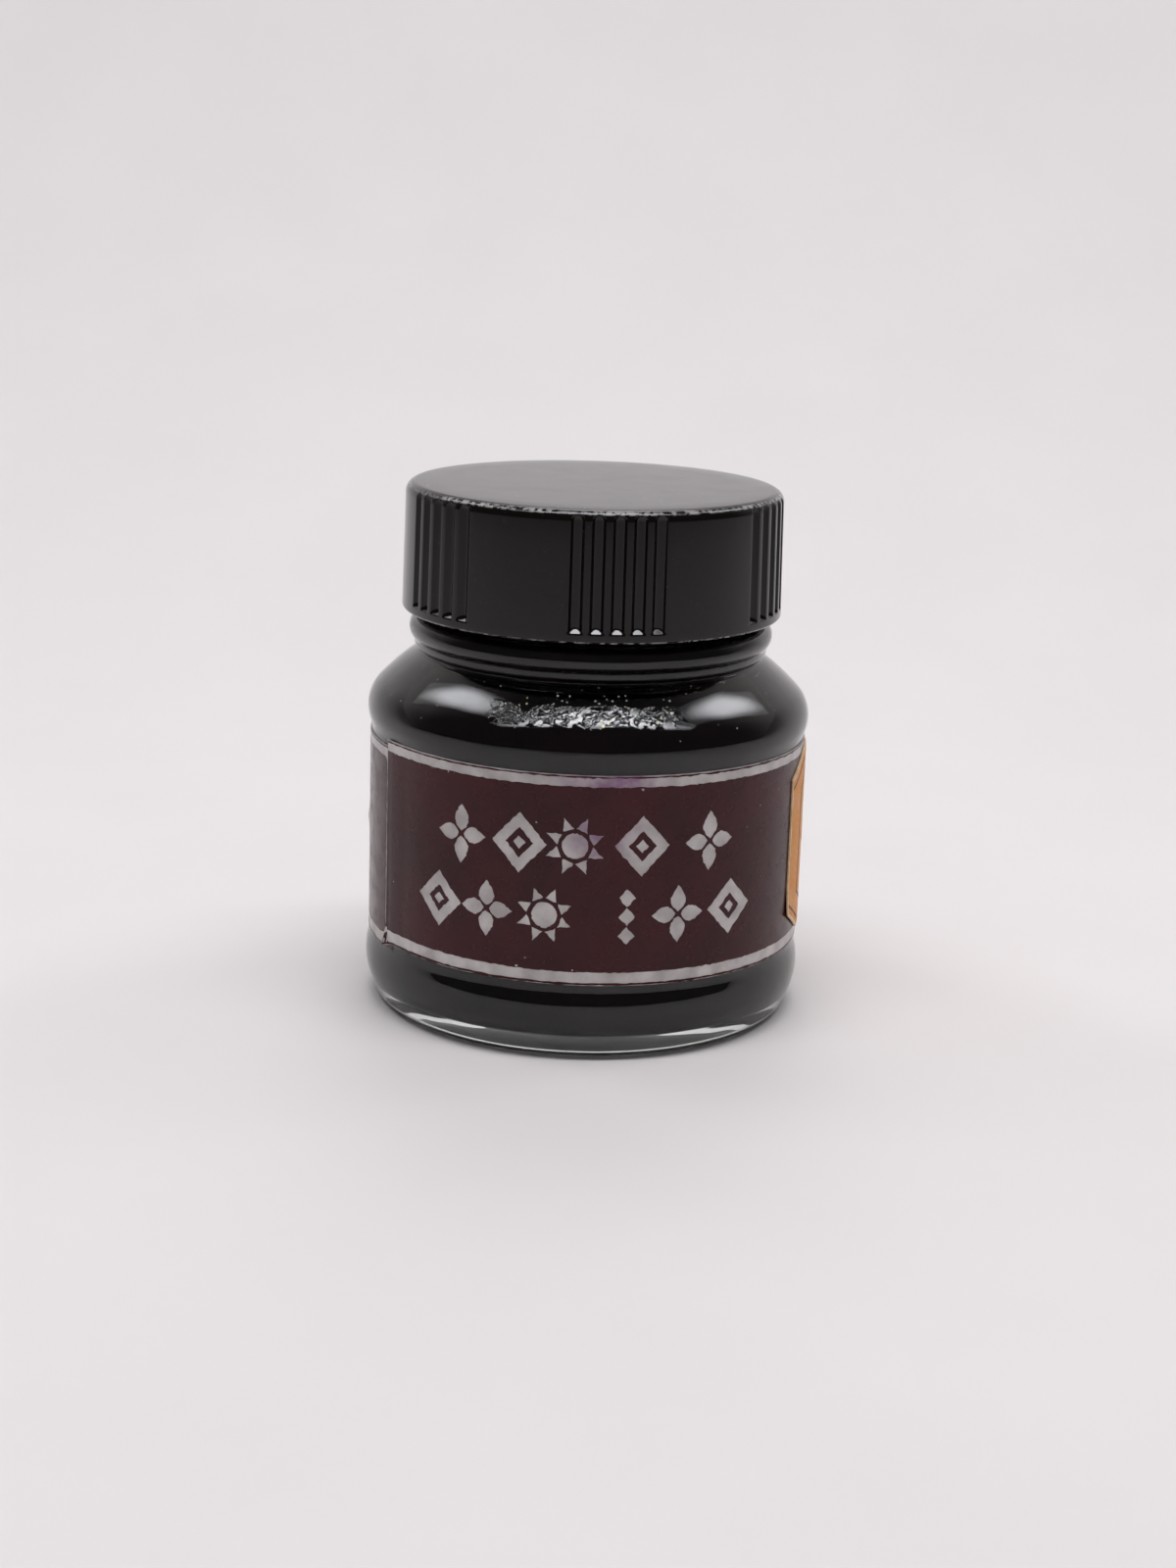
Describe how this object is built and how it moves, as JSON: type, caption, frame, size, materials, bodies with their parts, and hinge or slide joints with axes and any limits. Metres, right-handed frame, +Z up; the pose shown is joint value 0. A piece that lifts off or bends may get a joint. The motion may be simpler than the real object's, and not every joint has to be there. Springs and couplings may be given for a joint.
{
  "type": "ink bottle",
  "caption": "Squat round glass ink bottle with a wound label, a side label, dark ink inside, and a ribbed black screw cap with a two-layer liner.",
  "frame": {"origin": "centre of the circle that the bottle stands on", "axes": "+Z up along the axis of the bottle, -Y out of the middle of the label's front panel, +X to its right as seen from the front"},
  "size_m": [0.0412, 0.0412, 0.0487],
  "materials": {
    "bottle_glass": "clear moulded soda-lime glass, fire-polished",
    "ink": "opaque violet-black liquid",
    "cap_phenolic": "gloss black moulded phenolic",
    "pulpboard": "matt grey-brown pulpboard",
    "liner_film": "smooth white film",
    "foil_label": "black gloss lacquer over silver foil",
    "side_label_paper": "yellow-orange coated paper with a dark line border"
  },
  "bodies": {
    "bottle": {"bottle": "bottle_glass", "ink": "ink", "wrap_label": "foil_label", "side_label": "side_label_paper"},
    "liner": {"liner_board": "pulpboard", "liner_facing": "liner_film"},
    "cap": {"cap": "cap_phenolic"}
  },
  "joints": [
    {"name": "cap_rise", "type": "slide", "parent": "bottle", "child": "liner", "axis": [0, 0, 1], "range_m": [0, 0.0106]},
    {"name": "cap_turn", "type": "hinge", "parent": "liner", "child": "cap", "pos_m": [0, 0, 0.042], "axis": [0, 0, 1], "range_deg": [0, 900]}
  ],
  "couplings": [
    {"joint": "cap_rise", "follows": "cap_turn", "m_per_rad": 0.00067322}
  ]
}
